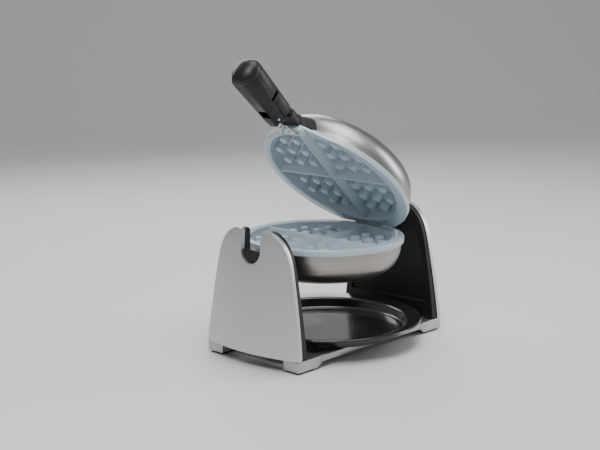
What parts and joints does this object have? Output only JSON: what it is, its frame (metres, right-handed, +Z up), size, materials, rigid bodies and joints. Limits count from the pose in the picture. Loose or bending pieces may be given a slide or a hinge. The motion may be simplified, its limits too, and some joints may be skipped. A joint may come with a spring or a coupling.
{
  "type": "waffle maker",
  "caption": "Rotating round waffle maker with hinged grid plates in steel domes, a side stand with drip tray and a folding black handle.",
  "frame": {"origin": "on the surface it stands on, under the middle of the whole object's box with the lid open as at rest", "axes": "+Z up; +X from the handle side to the hinge side, along the flip axis; -Y is the front"},
  "size_m": [0.3685, 0.271, 0.4211],
  "materials": {
    "stand_steel": "satin silver lacquer",
    "brushed_dome": "brushed stainless, clear lacquered",
    "ceramic_plate": "light blue-grey ceramic non-stick coating, fine speckle",
    "black_plastic": "fine textured black",
    "handle_plastic": "fine textured black, lightly polished on the tip",
    "tray_enamel": "gloss black non-stick enamel",
    "foot_rubber": "matte",
    "grey_nylon": "plain",
    "zinc_steel": "zinc plated",
    "hinge_casting": "as cast, coated",
    "red_lens": "translucent",
    "green_lens": "translucent"
  },
  "bodies": {
    "base": {"left_stand_shell": "stand_steel", "right_stand_shell": "stand_steel", "left_inner_cover": "black_plastic", "right_inner_cover": "black_plastic", "front_bar": "stand_steel", "rear_bar": "stand_steel", "foot_front_left": "stand_steel", "foot_front_right": "stand_steel", "foot_rear_left": "stand_steel", "foot_rear_right": "stand_steel", "foot_pad_front_left": "foot_rubber", "foot_pad_front_right": "foot_rubber", "foot_pad_rear_left": "foot_rubber", "foot_pad_rear_right": "foot_rubber", "front_bar_screw": "zinc_steel", "rear_bar_screw": "zinc_steel", "trunnion_bush": "grey_nylon", "control_switch": "grey_nylon", "terminal_block": "grey_nylon", "power_lamp": "red_lens", "ready_lamp": "green_lens", "cord_gland": "black_plastic"},
    "drip_tray": {"drip_tray": "tray_enamel"},
    "temperature_dial": {"temperature_dial": "black_plastic"},
    "head": {"lower_plate": "ceramic_plate", "lower_dome": "brushed_dome", "lower_collar": "black_plastic", "lower_heating_element": "zinc_steel", "thermostat": "zinc_steel", "thermal_fuse": "grey_nylon", "hinge_bracket": "hinge_casting", "trunnion_shaft": "zinc_steel", "trunnion_retainer": "zinc_steel"},
    "lid": {"upper_plate": "ceramic_plate", "upper_dome": "brushed_dome", "upper_collar": "black_plastic", "upper_heating_element": "zinc_steel", "hinge_pin": "zinc_steel", "handle_neck": "black_plastic", "handle_fold_pin": "zinc_steel", "neck_clip": "zinc_steel"},
    "handle": {"handle_upper_shell": "handle_plastic", "handle_lower_shell": "handle_plastic", "handle_tip_cap": "handle_plastic"},
    "release_button": {"release_button": "handle_plastic"}
  },
  "joints": [
    {"name": "head_flip", "type": "hinge", "parent": "base", "child": "head", "pos_m": [-0.004, 0, 0.1582], "axis": [1, 0, 0], "range_deg": [-75, 75]},
    {"name": "lid_hinge", "type": "hinge", "parent": "head", "child": "lid", "pos_m": [0.1007, 0, 0.1663], "axis": [0, 1, 0], "range_deg": [-43.4, 16.6]},
    {"name": "handle_fold", "type": "hinge", "parent": "lid", "child": "handle", "pos_m": [-0.10909, 0, 0.33262], "axis": [0, -1, 0], "range_deg": [0, 85]},
    {"name": "release_press", "type": "slide", "parent": "handle", "child": "release_button", "axis": [-0.7266, 0, 0.6871], "range_m": [0, 0.005], "stiffness_N_per_m": 300, "springref_m": -0.002},
    {"name": "tray_slide", "type": "slide", "parent": "base", "child": "drip_tray", "axis": [0, -1, 0], "range_m": [0, 0.12]},
    {"name": "dial_turn", "type": "hinge", "parent": "base", "child": "temperature_dial", "pos_m": [0.1749, 0, 0.075], "axis": [1, 0, 0], "range_deg": [0, 270]}
  ]
}
